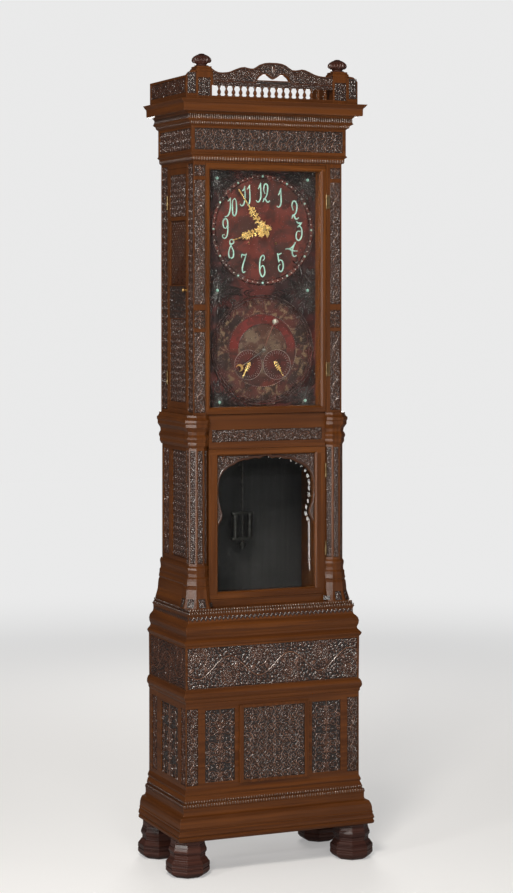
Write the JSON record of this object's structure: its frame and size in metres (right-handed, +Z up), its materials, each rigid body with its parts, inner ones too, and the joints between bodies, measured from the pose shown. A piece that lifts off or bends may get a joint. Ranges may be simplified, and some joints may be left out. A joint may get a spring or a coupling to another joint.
{
  "type": "tall case clock",
  "caption": "Tall case clock with carved wooden case, octagonal feet and pilasters, glazed hood and trunk doors, painted dial, gallery top, weights, pendulum and striking train.",
  "frame": {"origin": "on the floor, under the middle of the box round the clock", "axes": "+Z up, -Y towards the person who reads the dial, +X to that person's right"},
  "size_m": [0.708, 0.387, 2.622],
  "materials": {
    "carved_wood": "satin, carved",
    "case_wood": "satin",
    "door_wood": "satin",
    "inner_wood": "matt",
    "glass": "clear, bevelled",
    "brass": "satin",
    "gilt_brass": "bright",
    "steel": "satin",
    "silvered": "satin",
    "painted_dial": "satin",
    "gut_line": "matt"
  },
  "bodies": {
    "case": {"foot_front_left": "carved_wood", "foot_front_right": "carved_wood", "foot_back_left": "carved_wood", "foot_back_right": "carved_wood", "base_moulding": "case_wood", "plinth_case": "case_wood", "plinth_centre_panel": "carved_wood", "plinth_torus": "case_wood", "plinth_band": "carved_wood", "waist_ledge": "case_wood", "waist_case": "case_wood", "pilaster_left": "case_wood", "pilaster_right": "case_wood", "waist_mouldings": "case_wood", "back_board": "inner_wood", "hood_case": "case_wood", "frieze": "carved_wood", "cornice": "case_wood", "gallery_sides": "carved_wood", "gallery_rail": "carved_wood", "gallery_balusters": "carved_wood", "gallery_crest": "carved_wood", "gallery_posts": "carved_wood", "finials": "carved_wood", "hinges": "brass", "seat_board": "inner_wood", "movement_frame": "brass", "bell": "brass", "dial_plate": "painted_dial", "time_cable": "gut_line", "strike_cable": "gut_line"},
    "hood_door": {"hood_door": "door_wood", "hood_glass": "glass"},
    "trunk_door": {"trunk_door": "door_wood", "trunk_arch": "carved_wood", "trunk_glass": "glass"},
    "side_door_left": {"side_door_left": "case_wood"},
    "side_door_right": {"side_door_right": "case_wood"},
    "time_weight": {"time_weight": "brass"},
    "strike_weight": {"strike_weight": "brass"},
    "time_drum": {"time_drum": "brass"},
    "strike_drum": {"strike_drum": "brass"},
    "time_pulley": {"time_pulley": "brass"},
    "strike_pulley": {"strike_pulley": "brass"},
    "centre_arbor": {"centre_wheel": "brass", "minute_hand": "gilt_brass"},
    "time_great_wheel": {"time_great_wheel": "brass"},
    "third_wheel": {"third_wheel": "brass"},
    "escape_wheel": {"escape_wheel": "brass"},
    "minute_wheel": {"minute_wheel": "brass"},
    "hour_pipe": {"hour_wheel": "brass", "hour_hand": "gilt_brass"},
    "pendulum": {"pendulum": "steel"},
    "anchor": {"anchor": "steel"},
    "strike_great_wheel": {"strike_great_wheel": "brass"},
    "pin_wheel": {"pin_wheel": "brass"},
    "hammer": {"hammer": "steel"},
    "moon_arm": {"moon_arm": "silvered"},
    "calendar_left": {"calendar_left": "gilt_brass"},
    "calendar_right": {"calendar_right": "gilt_brass"}
  },
  "joints": [
    {"name": "hood_door_hinge", "type": "hinge", "parent": "case", "child": "hood_door", "pos_m": [0.2062, -0.114, 1.8], "axis": [0, 0, 1], "range_deg": [0, 110]},
    {"name": "trunk_door_hinge", "type": "hinge", "parent": "case", "child": "trunk_door", "pos_m": [0.2072, -0.106, 1.1], "axis": [0, 0, 1], "range_deg": [0, 105]},
    {"name": "side_door_left_hinge", "type": "hinge", "parent": "case", "child": "side_door_left", "pos_m": [-0.2655, 0.1165, 1.8], "axis": [0, 0, -1], "range_deg": [0, 100]},
    {"name": "side_door_right_hinge", "type": "hinge", "parent": "case", "child": "side_door_right", "pos_m": [0.2655, 0.1165, 1.8], "axis": [0, 0, 1], "range_deg": [0, 100]},
    {"name": "time_weight_fall", "type": "slide", "parent": "case", "child": "time_weight", "axis": [0, 0, 1], "range_m": [-1.063, 0], "deforming": ["time_cable"]},
    {"name": "strike_weight_fall", "type": "slide", "parent": "case", "child": "strike_weight", "axis": [0, 0, 1], "range_m": [-1.063, 0], "deforming": ["strike_cable"]},
    {"name": "time_drum_turn", "type": "hinge", "parent": "case", "child": "time_drum", "pos_m": [0.048, 0.0175, 2.018], "axis": [0, 1, 0], "range_deg": [-8700, 10]},
    {"name": "strike_drum_turn", "type": "hinge", "parent": "case", "child": "strike_drum", "pos_m": [-0.048, 0.0175, 2.018], "axis": [0, 1, 0], "range_deg": [-10, 8700]},
    {"name": "time_pulley_turn", "type": "hinge", "parent": "time_weight", "child": "time_pulley", "pos_m": [0.0539, 0.0175, 1.624], "axis": [0, 1, 0], "range_deg": [-3100, 10]},
    {"name": "strike_pulley_turn", "type": "hinge", "parent": "strike_weight", "child": "strike_pulley", "pos_m": [-0.0539, 0.0175, 1.624], "axis": [0, 1, 0], "range_deg": [-10, 3100]},
    {"name": "centre_arbor_turn", "type": "hinge", "parent": "case", "child": "centre_arbor", "pos_m": [0, 0.0175, 2.063], "axis": [0, 1, 0], "continuous": true},
    {"name": "time_great_wheel_turn", "type": "hinge", "parent": "case", "child": "time_great_wheel", "pos_m": [0.048, 0.0175, 2.018], "axis": [0, 1, 0], "continuous": true},
    {"name": "third_wheel_turn", "type": "hinge", "parent": "case", "child": "third_wheel", "pos_m": [0.02869, 0.0175, 2.08475], "axis": [0, 1, 0], "continuous": true},
    {"name": "escape_wheel_turn", "type": "hinge", "parent": "case", "child": "escape_wheel", "pos_m": [0, 0.0175, 2.103], "axis": [0, 1, 0], "continuous": true},
    {"name": "minute_wheel_turn", "type": "hinge", "parent": "case", "child": "minute_wheel", "pos_m": [0, 0.0175, 2.027], "axis": [0, 1, 0], "continuous": true},
    {"name": "hour_pipe_turn", "type": "hinge", "parent": "case", "child": "hour_pipe", "pos_m": [0, 0.0175, 2.063], "axis": [0, 1, 0], "continuous": true},
    {"name": "pendulum_swing", "type": "hinge", "parent": "case", "child": "pendulum", "pos_m": [0, 0.1125, 2.13402], "axis": [0, 1, 0], "range_deg": [-2, 2]},
    {"name": "anchor_rock", "type": "hinge", "parent": "case", "child": "anchor", "pos_m": [0, 0.0175, 2.13402], "axis": [0, 1, 0], "range_deg": [-2.1, 2.1]},
    {"name": "strike_great_wheel_turn", "type": "hinge", "parent": "case", "child": "strike_great_wheel", "pos_m": [-0.048, 0.0175, 2.018], "axis": [0, 1, 0], "continuous": true},
    {"name": "pin_wheel_turn", "type": "hinge", "parent": "case", "child": "pin_wheel", "pos_m": [-0.06503, 0.0175, 2.08155], "axis": [0, 1, 0], "continuous": true},
    {"name": "hammer_lift", "type": "hinge", "parent": "case", "child": "hammer", "pos_m": [-0.08403, 0.0175, 2.11795], "axis": [0, 1, 0], "range_deg": [-8, 0]},
    {"name": "moon_arm_turn", "type": "hinge", "parent": "case", "child": "moon_arm", "pos_m": [0, 0.0175, 1.6685], "axis": [0, 1, 0], "continuous": true},
    {"name": "calendar_left_turn", "type": "hinge", "parent": "case", "child": "calendar_left", "pos_m": [-0.05068, 0.0175, 1.62124], "axis": [0, 1, 0], "continuous": true},
    {"name": "calendar_right_turn", "type": "hinge", "parent": "case", "child": "calendar_right", "pos_m": [0.05068, 0.0175, 1.62124], "axis": [0, 1, 0], "continuous": true}
  ],
  "couplings": [
    {"joint": "time_drum_turn", "follows": "time_weight_fall", "rad_per_m": 141.84},
    {"joint": "strike_drum_turn", "follows": "strike_weight_fall", "rad_per_m": -141.84},
    {"joint": "time_pulley_turn", "follows": "time_weight_fall", "rad_per_m": 50},
    {"joint": "strike_pulley_turn", "follows": "strike_weight_fall", "rad_per_m": -50},
    {"joint": "time_great_wheel_turn", "follows": "centre_arbor_turn", "ratio": -0.125},
    {"joint": "third_wheel_turn", "follows": "centre_arbor_turn", "ratio": -8},
    {"joint": "escape_wheel_turn", "follows": "centre_arbor_turn", "ratio": 60},
    {"joint": "minute_wheel_turn", "follows": "centre_arbor_turn", "ratio": -0.33333},
    {"joint": "hour_pipe_turn", "follows": "centre_arbor_turn", "ratio": 0.083333},
    {"joint": "anchor_rock", "follows": "pendulum_swing", "ratio": 1},
    {"joint": "pin_wheel_turn", "follows": "strike_great_wheel_turn", "ratio": -8},
    {"joint": "calendar_left_turn", "follows": "moon_arm_turn", "ratio": -0.55556},
    {"joint": "calendar_right_turn", "follows": "moon_arm_turn", "ratio": -0.55556}
  ]
}
